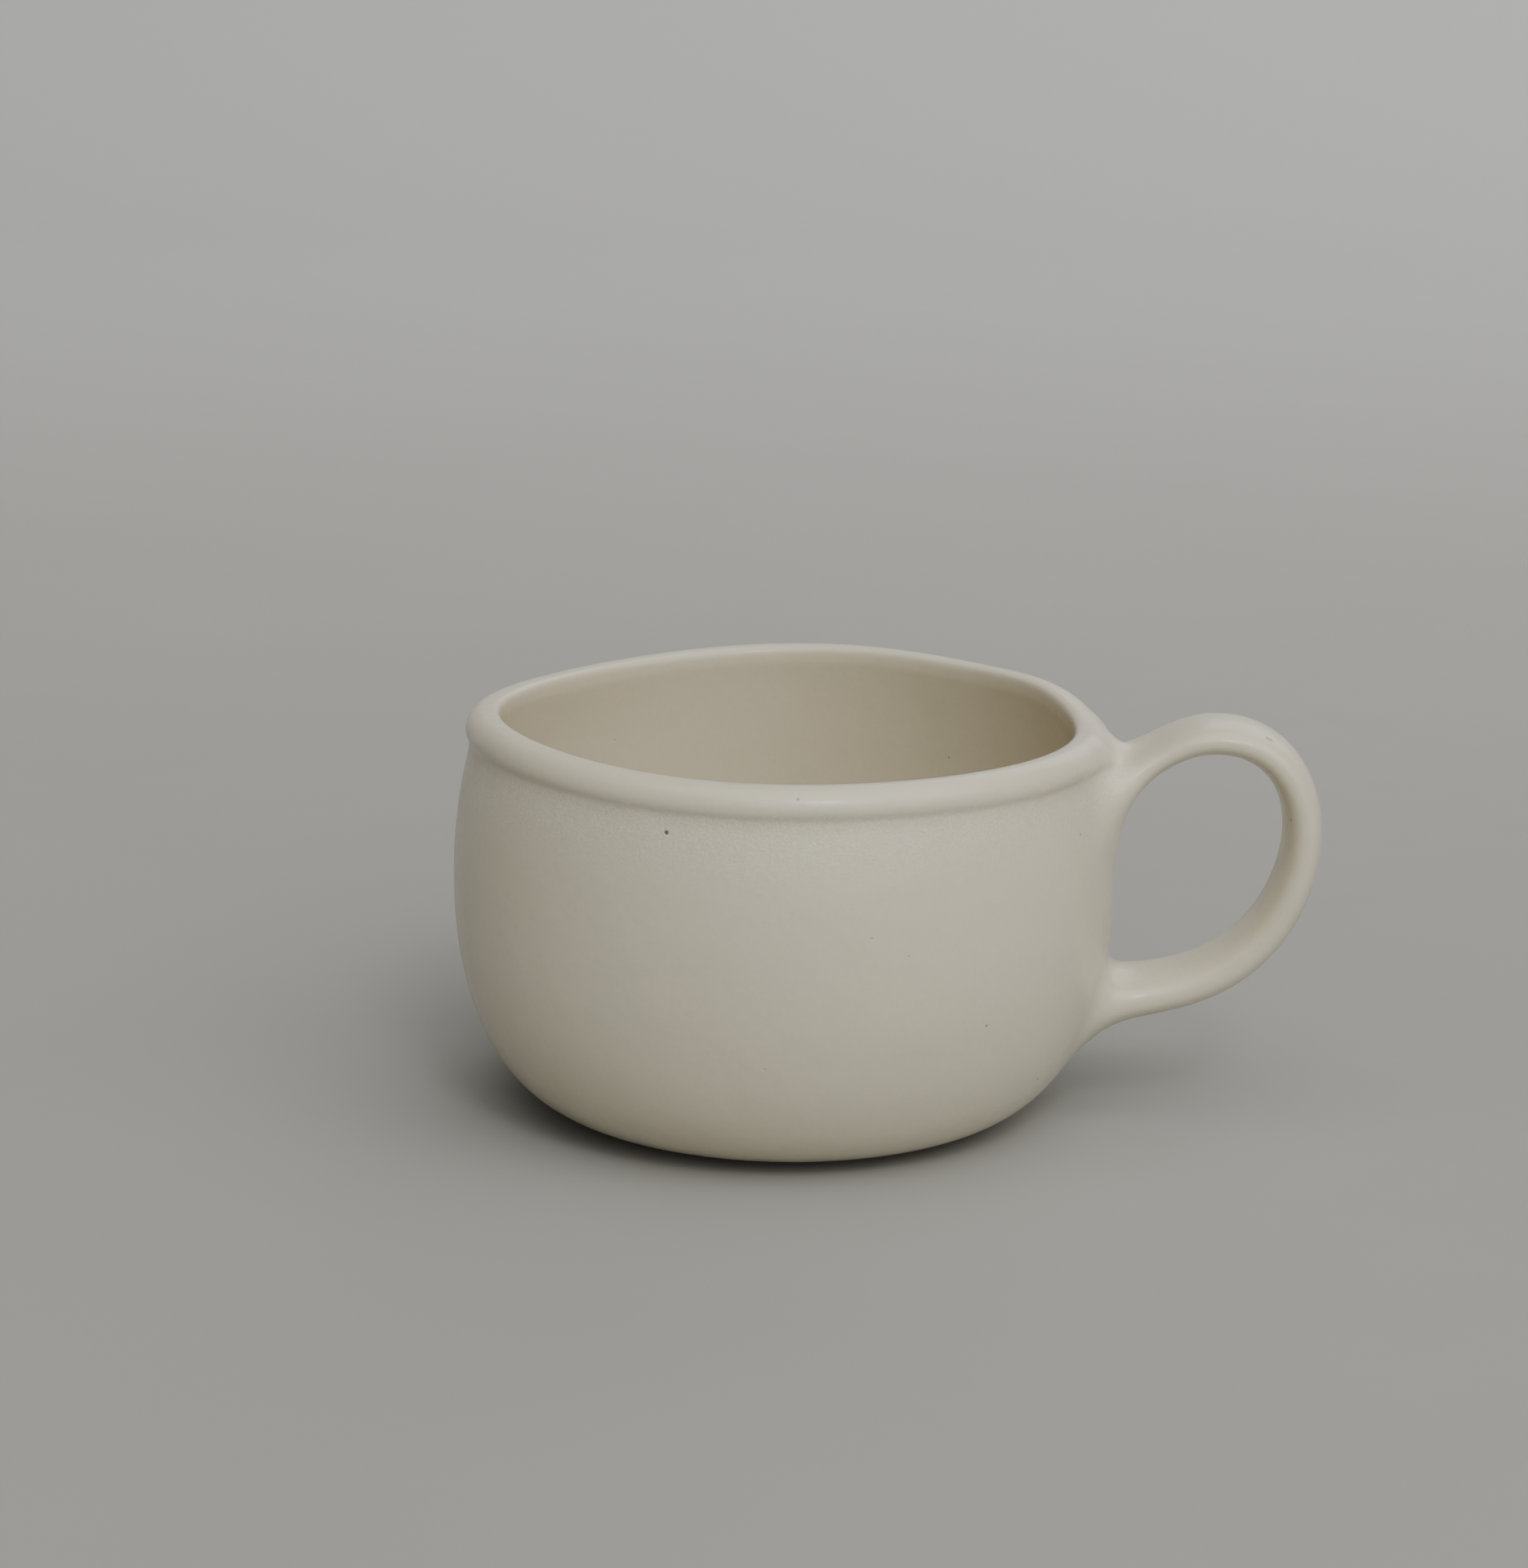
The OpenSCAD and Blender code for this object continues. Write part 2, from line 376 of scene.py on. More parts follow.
# Radii over which all this fades out along the handle
FADE_FROM_R, FADE_TO_R = BELLY_R + 2, BELLY_R + 14


def out_of_true(waves, bumps, turn):
    """Waves and swellings added up at each angle round the mug."""
    total = sum(c * np.cos(n * turn) + s * np.sin(n * turn) for n, (c, s) in waves.items())
    return total + sum(size * bump(turn, centre, width) for size, centre, width in bumps)


def warp(p):
    """Rim and wall as they came off the wheel: wavy rim, slightly oval mouth, faint hand marks."""
    p = np.asarray(p, float)
    x, y, z = p.T
    r = np.hypot(x, y)
    turn = np.arctan2(y, x) - HANDLE_TURN
    lift = out_of_true(RIM_WAVES, RIM_BUMPS, turn)
    spread = out_of_true(MOUTH_WAVES, MOUTH_BUMPS, turn)
    near_wall = 1 - smooth_step(r, FADE_FROM_R, FADE_TO_R)
    share = smooth_step(z, TRUE_BELOW_Z, LOOSE_ABOVE_Z) * near_wall
    hand = sum(depth * np.sin(n * turn + rise * z + start) for depth, n, rise, start in HAND_MARKS)
    hand = hand * smooth_step(z, 5, 14) * (1 - 0.6 * smooth_step(z, 58, 63)) * near_wall
    grow = 1 + share * spread / MOUTH_R + hand / np.maximum(r, 20)
    return np.stack([x * grow, y * grow, z + share * lift], 1)


# ---------------------------------------------------------------- meshes from grids of points


def grid_faces(index, wrap_rows=False, wrap_cols=True):
    """Four-sided faces over a grid of vertex numbers, rows by columns."""
    rows = np.r_[index, index[:1]] if wrap_rows else index
    cols = np.c_[rows, rows[:, :1]] if wrap_cols else rows
    return np.stack([cols[:-1, :-1], cols[:-1, 1:], cols[1:, 1:], cols[1:, :-1]], -1).reshape(-1, 4)


def square_ring(n):
    """Numbers of an (n+1) x (n+1) grid's edge points, anticlockwise from the middle of its +X side."""
    g = np.arange((n + 1) ** 2).reshape(n + 1, n + 1)
    ring = np.r_[g[-1, :-1], g[:0:-1, -1], g[0, :0:-1], g[:-1, 0]]
    return np.roll(ring, -(n // 2))


def disc_points(n):
    """An (n+1) x (n+1) grid laid over the unit disc, its edge points evenly turned."""
    u, v = np.meshgrid(np.linspace(-1, 1, n + 1), np.linspace(-1, 1, n + 1), indexing="ij")
    wide = np.abs(u) >= np.abs(v)
    radius = np.where(wide, u, v)
    with np.errstate(divide="ignore", invalid="ignore"):
        turn = np.where(wide, math.pi / 4 * v / u, math.pi / 2 - math.pi / 4 * u / v)
    turn = np.nan_to_num(turn)
    return np.stack([radius * np.cos(turn), radius * np.sin(turn)], -1).reshape(-1, 2)


def patch_over(ring, n):
    """Grid of points stretched between the 4n points of a closed ring, in square_ring order."""
    g = np.zeros((n + 1, n + 1, 3))
    flat = g.reshape(-1, 3)
    flat[square_ring(n)] = ring
    u = np.linspace(0, 1, n + 1)[:, None, None]
    v = np.linspace(0, 1, n + 1)[None, :, None]
    across = (1 - u) * g[:1] + u * g[-1:] + (1 - v) * g[:, :1] + v * g[:, -1:]
    near_corners = (1 - u) * g[0, 0] + u * g[-1, 0]
    far_corners = (1 - u) * g[0, -1] + u * g[-1, -1]
    inside = across - (1 - v) * near_corners - v * far_corners
    inside[0], inside[-1], inside[:, 0], inside[:, -1] = g[0], g[-1], g[:, 0], g[:, -1]
    return inside.reshape(-1, 3)


class Shape:
    """Points and faces gathered from several grids."""

    def __init__(self):
        self.points, self.faces, self.count = [], [], 0

    def add(self, points):
        points = np.asarray(points, float)
        start = self.count
        self.points.append(points.reshape(-1, 3))
        self.count += len(self.points[-1])
        return start + np.arange(len(self.points[-1])).reshape(points.shape[:-1])

    def join(self, faces):
        self.faces.append(np.asarray(faces).reshape(-1, 4))

    def all_points(self):
        return np.concatenate(self.points)

    def all_faces(self):
        return np.concatenate(self.faces)


def point_normals(points, faces):
    a, b, c, d = (points[faces[:, k]] for k in range(4))
    face = np.cross(c - a, d - b)
    total = np.zeros_like(points)
    for k in range(4):
        np.add.at(total, faces[:, k], face)
    return total / np.linalg.norm(total, axis=1).clip(1e-12)[:, None]


def make_piece(name, points, faces, material, node, normals=None):
    """Mesh object in metres from points in mm, riding on the root and standing for one CAD node."""
    mesh = bpy.data.meshes.new(name)
    mesh.from_pydata((points * MM).tolist(), [], [[int(v) for v in f] for f in faces])
    mesh.validate(verbose=False)
    mesh.polygons.foreach_set("use_smooth", [True] * len(mesh.polygons))
    mesh.update()
    if normals is not None:
        mesh.normals_split_custom_set_from_vertices(normals.tolist())
    mesh.materials.append(material)
    piece = bpy.data.objects.new(name, mesh)
    bpy.context.scene.collection.objects.link(piece)
    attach(piece, "root")
    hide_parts(node)


def turned_outward(points, faces):
    """faces, all flipped if the closed shape they make has its inside out."""
    a, b, c, d = (points[faces[:, k]] for k in range(4))
    volume = (np.cross(a, b) * c).sum() + (np.cross(a, c) * d).sum()
    return faces if volume > 0 else faces[:, ::-1]


# ---------------------------------------------------------------- the glazed skin, in one piece

COLS = 256
WINDOW = 20  # cells each way that a handle root takes out of the wall
SIDES = 4 * WINDOW
BRIDGE = 18  # rings between a window and the strap
# The glaze's rounded lower edge, out and up from the heel, and its thickness in the first rows
EDGE_ROWS = [(-0.12, 0.37), (-0.06, 0.2), (0.06, 0.07)]
EDGE_COAT = [0.02, 0.05, 0.12, 0.25, 0.34, 0.38]

wall_rows = spaced(outer_line, wall_spacing)
# the first row moves a little out, so that it clears the edge rows
wall_rows[0] = (HEEL_R + 0.3, outer_line[6, 1])
outer_rows = np.r_[np.array(EDGE_ROWS) + (HEEL_R, HEEL_Z), wall_rows]
inner_rows = spaced(inner_line, wall_spacing)[::-1]

turns = np.arange(COLS) * 2 * math.pi / COLS


def turned(rows, turns=turns):
    """Grid of points: each [radius, height] row turned about the mug's axis."""
    radius, height = rows[:, :1], rows[:, 1:]
    return np.stack([radius * np.cos(turns), radius * np.sin(turns), height + 0 * turns], -1)


skin = Shape()
outer_index = skin.add(turned(outer_rows))
inner_index = np.r_[outer_index[-1:], skin.add(turned(inner_rows[1:]))]

disc_n = COLS // 4
disc = disc_points(disc_n)
floor_index = np.zeros(len(disc), int)
on_edge = np.zeros(len(disc), bool)
on_edge[square_ring(disc_n)] = True
floor_index[square_ring(disc_n)] = inner_index[-1]
floor_middle = disc[~on_edge] * FLOOR_R
floor_index[~on_edge] = skin.add(np.c_[floor_middle, np.full(len(floor_middle), FLOOR_Z)])
floor_index = floor_index.reshape(disc_n + 1, disc_n + 1)

# Windows in the wall for the handle's two roots
UPPER_FROM_Z, LOWER_FROM_Z = 43.2, 6.2
half_window = WINDOW // 2
window_cols = np.arange(-half_window, half_window + 1) % COLS
first_upper = int(np.searchsorted(outer_rows[:, 1], UPPER_FROM_Z))
first_lower = int(np.searchsorted(outer_rows[:, 1], LOWER_FROM_Z))


def window_loop(first_row, upside_down):
    """Numbers of the points round a window, in square_ring order."""
    w = outer_index[first_row : first_row + WINDOW + 1][:, window_cols]
    if upside_down:
        w = w[::-1]
    return w.T.reshape(-1)[square_ring(WINDOW)]


upper_loop = window_loop(first_upper, False)
lower_loop = window_loop(first_lower, True)

wall_cells = grid_faces(outer_index).reshape(len(outer_rows) - 1, COLS, 4)
kept = np.ones(wall_cells.shape[:2], bool)
for first_row in (first_upper, first_lower):
    rows = np.arange(first_row, first_row + WINDOW)
    kept[np.ix_(rows, window_cols[:-1])] = False
outer_faces = wall_cells[kept]
inner_faces = np.r_[grid_faces(inner_index), grid_faces(floor_index, wrap_cols=False)[:, ::-1]]

# Strap rings between the two bridges
section = np.arange(SIDES) * 2 * math.pi / SIDES
T_UPPER, T_LOWER = 0.20, 0.80
STRAP_RINGS = 90
FINE_STEPS = 600
fine_t = np.linspace(T_UPPER, T_LOWER, FINE_STEPS)
fine_s = lengths(curve_at(fine_t))
ring_t = np.interp(np.linspace(0, fine_s[-1], STRAP_RINGS), fine_s, fine_t)
strap_points = strap_ring(ring_t[:, None] + 0 * section, section + 0 * ring_t[:, None])
strap_index = skin.add(strap_points)

# The wall near the roots swells with the smeared clay
ROOTS_FROM_X, ROOTS_HALF_Y = 35, 22
points_now = skin.all_points()
outer_flat = outer_index.reshape(-1)
outer_x, outer_y, _ = points_now[outer_flat].T
near = outer_flat[(outer_x > ROOTS_FROM_X) & (np.abs(outer_y) < ROOTS_HALF_Y)]
points_now[near] = settled(points_now[near], joined_distance)


def bridge(loop_points, ring_points, passes=25, eagerness=0.6):
    """Rings from a window's loop to a strap ring, laid on the joined surface and evened out."""
    s = np.linspace(0, 1, BRIDGE + 2)[:, None, None]
    rings = (1 - s) * loop_points + s * ring_points
    shape = rings[1:-1].shape
    rings[1:-1] = settled(rings[1:-1].reshape(-1, 3), joined_distance, 4).reshape(shape)
    for _ in range(passes):
        side = np.roll(rings, 1, 1) + np.roll(rings, -1, 1)
        mean = (rings[2:] + rings[:-2] + side[1:-1]) / 4
        rings[1:-1] += eagerness * (mean - rings[1:-1])
        rings[1:-1] = settled(rings[1:-1].reshape(-1, 3), joined_distance, 1).reshape(shape)
    rings[1:-1] = settled(rings[1:-1].reshape(-1, 3), joined_distance, 2).reshape(shape)
    return rings


end_rings = strap_index[[0, 1, 2, -3, -2, -1]].reshape(-1)
points_now[end_rings] = settled(points_now[end_rings], joined_distance, 2)
upper_bridge = bridge(points_now[upper_loop], points_now[strap_index[0]])
lower_bridge = bridge(points_now[lower_loop], points_now[strap_index[-1]])
skin.points = [points_now]
upper_index = np.r_[upper_loop[None], skin.add(upper_bridge[1:-1]), strap_index[:1]]
lower_index = np.r_[lower_loop[None], skin.add(lower_bridge[1:-1]), strap_index[-1:]]
tube_index = np.r_[upper_index[:-1], strap_index, lower_index[::-1][1:]]
tube_faces = grid_faces(tube_index)

true_points = skin.all_points()
skin_faces = np.r_[outer_faces, inner_faces, tube_faces]
true_normals = point_normals(true_points, skin_faces)
skin_points = warp(true_points)
skin_normals = point_normals(skin_points, skin_faces)
coat = np.full(len(skin_points), GLAZE)
coat[outer_index[: len(EDGE_COAT)]] = np.array(EDGE_COAT)[:, None]


def shell(faces):
    """Closed coat under some of the skin's faces: outer layer, inner layer and the edge between."""
    used, small = np.unique(faces, return_inverse=True)
    small = small.reshape(-1, 4)
    n = len(used)
    outer, normal = skin_points[used], skin_normals[used]
    inner = outer - coat[used][:, None] * normal
    edges = np.concatenate([small[:, [k, (k + 1) % 4]] for k in range(4)])
    key = np.sort(edges, 1) @ np.array([n, 1])
    _, where, times = np.unique(key, return_index=True, return_counts=True)
    rim = edges[where[times == 1]]
    sides = np.stack([rim[:, 1], rim[:, 0], rim[:, 0] + n, rim[:, 1] + n], 1)
    return np.r_[outer, inner], np.r_[small, small[:, ::-1] + n, sides], np.r_[normal, -normal]


# ---------------------------------------------------------------- the clay under the glaze

CLAY_COLS = 192
clay_turns = np.arange(CLAY_COLS) * 2 * math.pi / CLAY_COLS


def cut_at(line, z, keep_below):
    """The part of an outline below or above the height z."""
    k = int(np.argmax(line[:, 1] > z))
    share = (z - line[k - 1, 1]) / (line[k, 1] - line[k - 1, 1])
    crossing = line[k - 1] + share * (line[k] - line[k - 1])
    return np.r_[line[:k], [crossing]] if keep_below else np.r_[[crossing], line[k:]]


def evenly(path, step):
    """Points along path about step apart, its two ends among them."""
    total = lengths(path)[-1]
    count = max(2, int(round(total / step)) + 1)
    return at_lengths(path, np.linspace(0, total, count))


# Distances between points on the clay: the underside, the wall, the rim roll and the foot ring
UNDER_STEP, WALL_CLAY_STEP, ROLL_CLAY_STEP, RING_STEP = 0.7, 1.6, 0.5, 0.32

outer_clay = moved_left(outer_line, GLAZE)
inner_clay = moved_left(inner_line, -GLAZE)
below_out, above_out = cut_at(outer_clay, JOINT_Z, True), cut_at(outer_clay, JOINT_Z, False)
below_in, above_in = cut_at(inner_clay, JOINT_Z, True), cut_at(inner_clay, JOINT_Z, False)


def turned_ring(profile):
    """Closed ring turned from a closed profile that stays off the axis."""
    shape = Shape()
    index = shape.add(turned(profile, clay_turns))
    shape.join(grid_faces(index, wrap_rows=True))
    points, faces = shape.all_points(), shape.all_faces()
    return points, turned_outward(points, faces)


def turned_block(profile):
    """Solid turned from a profile whose first and last points are joined to the axis by level discs."""
    shape = Shape()
    index = shape.add(turned(profile, clay_turns))
    shape.join(grid_faces(index))
    n = CLAY_COLS // 4
    unit, ring = disc_points(n), square_ring(n)
    inner = np.ones(len(unit), bool)
    inner[ring] = False
    for row, flip in ((0, False), (-1, True)):
        number = np.zeros(len(unit), int)
        number[ring] = index[row]
        r, z = profile[row]
        number[inner] = shape.add(np.c_[unit[inner] * r, np.full(inner.sum(), z)])
        faces = grid_faces(number.reshape(n + 1, n + 1), wrap_cols=False)
        shape.join(faces[:, ::-1] if flip else faces)
    points, faces = shape.all_points(), shape.all_faces()
    return points, turned_outward(points, faces)


# One spiral turning mark inside the foot ring: half its depth, how far it is sunk, turn per mm outward
MARK_DEPTH, MARK_SINK, MARK_TURN = 0.08, 0.02, 1.15
underside = np.array([(FOOT_R - FOOT_WIDTH, FOOT_TOP), (FOOT_R, FOOT_TOP), (FOOT_R, HEEL_Z + 0.38)])
clay_wall_line = np.r_[
    evenly(underside, UNDER_STEP),
    evenly(below_out, WALL_CLAY_STEP),
    evenly(below_in[::-1], WALL_CLAY_STEP),
]
clay_wall_points, clay_wall_faces = turned_block(clay_wall_line)
from_axis = np.hypot(*clay_wall_points[:, :2].T)
under = (clay_wall_points[:, 2] < FOOT_TOP + 0.1) & (from_axis < FOOT_R - FOOT_WIDTH - 0.4)
spiral = from_axis[under] * MARK_TURN + np.arctan2(*clay_wall_points[under, :2].T)
clay_wall_points[under, 2] -= MARK_DEPTH * np.sin(spiral) + MARK_SINK

clay_rim_line = np.r_[evenly(above_out, ROLL_CLAY_STEP), evenly(above_in[::-1], ROLL_CLAY_STEP)[1:]]
clay_rim_points, clay_rim_faces = turned_ring(clay_rim_line)


def rounded_box(r0, z0, r1, z1, radii, n=8):
    """Outline round a box, with its own radius at each corner, from the lower right anticlockwise."""
    out = []
    corners = [(r1, z0, -90), (r1, z1, 0), (r0, z1, 90), (r0, z0, 180)]
    for (r, z, start), radius in zip(corners, radii):
        middle = (r - radius if r == r1 else r + radius, z + radius if z == z0 else z - radius)
        a = np.radians(start + np.linspace(0, 90, n))
        out.append(np.c_[middle[0] + radius * np.cos(a), middle[1] + radius * np.sin(a)])
    return np.concatenate(out)


# Radii of the foot ring's corners, and how far it is out of round at the ground, as a share
FOOT_CORNERS = (0.9, 0.15, 0.3, 0.7)
FOOT_WOBBLE = 0.0016
foot_box = rounded_box(FOOT_R - FOOT_WIDTH, 0, FOOT_R, FOOT_TOP, FOOT_CORNERS)
foot_line = evenly(np.r_[foot_box, foot_box[:1]], RING_STEP)[:-1]
clay_foot_points, clay_foot_faces = turned_ring(foot_line)
foot_turn = np.arctan2(clay_foot_points[:, 1], clay_foot_points[:, 0])
foot_share = smooth_step(clay_foot_points[:, 2], FOOT_TOP, 0.8)
wobble = FOOT_WOBBLE * foot_share * np.sin(3 * foot_turn + 1)
clay_foot_points[:, :2] *= 1 + wobble[:, None]


def wall_t(t_from, t_end):
    """Where along the strap each of its side lines meets the clay of the wall."""
    ts = np.linspace(t_from, t_end, 60)
    p = strap_ring(ts[:, None] + 0 * section, section + 0 * ts[:, None], GLAZE)
    value = cup_distance(p.reshape(-1, 3)).reshape(len(ts), SIDES) + GLAZE
    below = value < 0
    k = np.where(below.any(0), below.argmax(0), len(ts) - 1).clip(1)
    m = np.arange(SIDES)
    v0, v1 = value[k - 1, m], value[k, m]
    share = np.clip(v0 / np.where(v0 == v1, 1, v0 - v1), 0, 1)
    return ts[k - 1] + share * (ts[k] - ts[k - 1])


steps = np.linspace(0, 1, BRIDGE + 2)[:, None]
upper_t = wall_t(T_UPPER, 0.0) * (1 - steps) + T_UPPER * steps
lower_t = wall_t(T_LOWER, 1.0) * (1 - steps) + T_LOWER * steps
angles = section + 0 * steps
upper_bar, lower_bar = strap_ring(upper_t, angles, GLAZE), strap_ring(lower_t, angles, GLAZE)
middle_t = ring_t[1:-1, None]
middle_bar = strap_ring(middle_t + 0 * section, section + 0 * middle_t, GLAZE)


def on_clay(p):
    """p moved on to the clay of the wall, under its glaze."""
    return settled(p, cup_distance, 4, -GLAZE)


# The strap's own clay: a closed bar whose two ends lie on the clay of the wall
bar_shape = Shape()
bar_index = bar_shape.add(np.concatenate([upper_bar, middle_bar, lower_bar[::-1]]))
bar_shape.join(grid_faces(bar_index))
cap_inner = np.ones((WINDOW + 1) ** 2, bool)
cap_inner[square_ring(WINDOW)] = False
bar_ends = ((upper_bar[0], bar_index[0], False), (lower_bar[0], bar_index[-1], True))
for ring_points, ring_numbers, flip in bar_ends:
    cap = on_clay(patch_over(ring_points, WINDOW)[cap_inner])
    number = np.zeros((WINDOW + 1) ** 2, int)
    number[square_ring(WINDOW)] = ring_numbers
    number[cap_inner] = bar_shape.add(cap)
    faces = grid_faces(number.reshape(WINDOW + 1, WINDOW + 1), wrap_cols=False)
    bar_shape.join(faces[:, ::-1] if flip else faces)
bar_points = bar_shape.all_points()
bar_faces = turned_outward(bar_points, bar_shape.all_faces())


def collar(index, bar):
    """Luting clay: a sleeve between the bar and the inside of the glaze, thinning along the strap."""
    rings = BRIDGE - 2
    over = true_points[index[:rings]] - GLAZE * true_normals[index[:rings]]
    under_side = bar[:rings]
    s = np.linspace(0, 1, 5)[1:-1, None, None]
    on_wall = (1 - s) * bar[0] + s * over[0]
    on_wall = on_clay(on_wall.reshape(-1, 3)).reshape(on_wall.shape)
    shape = Shape()
    collar_index = shape.add(np.concatenate([under_side[::-1], on_wall, over]))
    shape.join(grid_faces(collar_index, wrap_rows=True))
    points, faces = shape.all_points(), shape.all_faces()
    return points, turned_outward(points, faces)


# ---------------------------------------------------------------- materials


def srgb(r, g, b):
    """Linear colour from 0 to 255 display values, all of them over 10."""
    return tuple(((v / 255 + 0.055) / 1.055) ** 2.4 for v in (r, g, b)) + (1,)


class Nodes:
    """Short calls for building one material's node tree."""

    def __init__(self, name):
        self.material = bpy.data.materials.new(name)
        self.material.use_nodes = True
        self.tree = self.material.node_tree
        self.shader = next(n for n in self.tree.nodes if n.type == "BSDF_PRINCIPLED")
        coordinates = self.add("ShaderNodeTexCoord").outputs
        self.place, self.normal = coordinates["Object"], coordinates["Normal"]

    def add(self, kind, **settings):
        node = self.tree.nodes.new(kind)
        for key, value in settings.items():
            setattr(node, key, value)
        return node

    def put(self, socket, value):
        if isinstance(value, bpy.types.NodeSocket):
            self.tree.links.new(value, socket)
        else:
            socket.default_value = value

    def noise(self, scale, detail=3.0, roughness=0.5):
        node = self.add("ShaderNodeTexNoise")
        self.put(node.inputs["Vector"], self.place)
        node.inputs["Scale"].default_value = scale
        node.inputs["Detail"].default_value = detail
        node.inputs["Roughness"].default_value = roughness
        return node.outputs["Fac"]

    def cells(self, scale):
        node = self.add("ShaderNodeTexVoronoi")
        self.put(node.inputs["Vector"], self.place)
        node.inputs["Scale"].default_value = scale
        return node.outputs["Distance"], node.outputs["Color"]

    def math(self, how, a, b=0.0, c=0.0):
        node = self.add("ShaderNodeMath", operation=how)
        for socket, value in zip(node.inputs, (a, b, c)):
            self.put(socket, value)
        return node.outputs[0]

    def remap(self, value, low, high, to_low=0.0, to_high=1.0, soft=True):
        """value carried from low..high to to_low..to_high and held there, with soft or sharp ends."""
        node = self.add("ShaderNodeMapRange", interpolation_type="SMOOTHSTEP" if soft else "LINEAR")
        for socket, v in zip(node.inputs, (value, low, high, to_low, to_high)):
            self.put(socket, v)
        return node.outputs[0]

    def mix(self, share, a, b):
        node = self.add("ShaderNodeMix", data_type="RGBA")
        self.put(node.inputs[0], share)
        self.put(node.inputs[6], a)
        self.put(node.inputs[7], b)
        return node.outputs[2]

    def tint(self, colour, other, share, most):
        """colour turned towards other, by most where share is 1."""
        return self.mix(self.math("MULTIPLY", share, most), colour, other)

    def scaled(self, colour, by):
        node = self.add("ShaderNodeVectorMath", operation="SCALE")
        self.put(node.inputs[0], colour)
        self.put(node.inputs["Scale"], by)
        return node.outputs[0]

    def split(self, vector):
        node = self.add("ShaderNodeSeparateXYZ")
        self.put(node.inputs[0], vector)
        return node.outputs

    def from_axis(self):
        """Distance from the mug's axis, in metres."""
        x, y, _ = self.split(self.place)
        squares = self.math("ADD", self.math("MULTIPLY", x, x), self.math("MULTIPLY", y, y))
        return self.math("SQRT", squares)

    def bump(self, height, distance, strength=1.0, normal=None):
        node = self.add("ShaderNodeBump")
        node.inputs["Strength"].default_value = strength
        node.inputs["Distance"].default_value = distance
        self.put(node.inputs["Height"], height)
        if normal is not None:
            self.put(node.inputs["Normal"], normal)
        return node.outputs[0]

    def specks(self, scale, radius, share, edge=0.0001):
        """1 on small round specks up to radius metres, in this share of the cells; 0 elsewhere."""
        distance, colour = self.cells(scale)
        pick, size, _ = self.split(colour)
        chosen = self.math("LESS_THAN", pick, share)
        wide = self.math("MULTIPLY_ADD", size, 0.6 * radius * scale, 0.4 * radius * scale)
        dot = self.remap(self.math("SUBTRACT", distance, wide), -edge * scale, edge * scale, 1.0, 0.0)
        return self.math("MULTIPLY", dot, chosen)

    def spot(self, centre, sizes):
        """1 inside one small egg-shaped spot with the given half sizes, 0 elsewhere."""
        offset = self.add("ShaderNodeVectorMath", operation="SUBTRACT")
        self.put(offset.inputs[0], self.place)
        offset.inputs[1].default_value = centre
        share = self.add("ShaderNodeVectorMath", operation="DIVIDE")
        self.put(share.inputs[0], offset.outputs[0])
        share.inputs[1].default_value = sizes
        away = self.add("ShaderNodeVectorMath", operation="LENGTH")
        self.put(away.inputs[0], share.outputs[0])
        return self.remap(away.outputs["Value"], 0.6, 1.1, 1.0, 0.0)


GLAZE_BODY = srgb(206, 200, 178)
GLAZE_PINK = srgb(206, 198, 177)
GLAZE_GREEN = srgb(203, 199, 177)
# Colour of thin glaze, also used as painted shade on the inner walls
GLAZE_THIN_AND_SHADE = srgb(188, 177, 154)
GLAZE_THICK = srgb(218, 213, 198)
IRON = srgb(72, 60, 46)
GLAZE_ROUGHNESS = (0.205, 0.255)
GLAZE_IOR = 1.48

# Where the glaze pools and thins, in metres: each pair is a change's start and its end
WALL_INNER, WALL_OUTER = (0.0506, 0.0514), (0.058, 0.0565)
POOL_LOW, POOL_HIGH = (0.048, 0.0600), (0.0630, 0.0615)
HEEL_BAND = (0.0032, 0.0012)

# Cells per metre, largest radius in metres, share of the cells that have one
LARGE_SPECKS = (120, 0.00042, 0.16)
SMALL_SPECKS = (230, 0.00030, 0.09)
PITS = (310, 0.00025, 0.02)

# One nick on the handle's outer face: its place along the strap, angle round it, and half sizes
NICK_T, NICK_ANGLE = 0.35, 126.0
NICK_SIZES = (0.0008, 0.0005, 0.0006)
NICK_PLACE = tuple(warp(strap_ring(np.array([NICK_T]), np.radians([NICK_ANGLE])))[0] * MM)

# Heights of the glaze's surface detail, in metres
WAVE_DEPTH, PEEL_DEPTH, SUGAR_DEPTH, PIT_DEPTH = 0.00022, 0.00004, 0.00012, 0.00010
RELIEF = 0.9


def glaze_colour(m, pooled, grain, inside):
    """Clouded ivory: pale sugary grains where it pools, clay-toned where it is thin; inside, painted
    shade on all that does not face up.
    """
    tone = m.remap(m.noise(28, 2), 0.35, 0.65)
    colour = m.mix(tone, GLAZE_PINK, GLAZE_GREEN)
    cloud = m.remap(m.noise(75, 4, 0.6), 0.3, 0.75, 0.0, 0.55)
    colour = m.mix(cloud, colour, GLAZE_BODY)
    grains = m.math("MULTIPLY", pooled, m.remap(grain, 0.45, 0.65))
    colour = m.tint(colour, GLAZE_THICK, grains, 0.6)
    gaps = m.math("MULTIPLY", pooled, m.remap(grain, 0.42, 0.28))
    colour = m.tint(colour, GLAZE_THIN_AND_SHADE, gaps, 0.35)
    # Painted shade: inside the mug the glaze is darkened towards the thin-glaze colour, up to half,
    # where it does not face up
    if inside:
        facing_up = m.split(m.normal)[2]
        colour = m.mix(m.remap(facing_up, 0.93, 0.55, 0.0, 0.5), colour, GLAZE_THIN_AND_SHADE)
    heel = m.remap(m.split(m.place)[2], *HEEL_BAND)
    colour = m.tint(colour, GLAZE_THIN_AND_SHADE, heel, 0.55)
    fine = m.remap(m.noise(900, 3, 0.65), 0.25, 0.75, -0.5, 0.5, soft=False)
    return m.scaled(colour, m.math("MULTIPLY_ADD", fine, 0.05, 1.0))


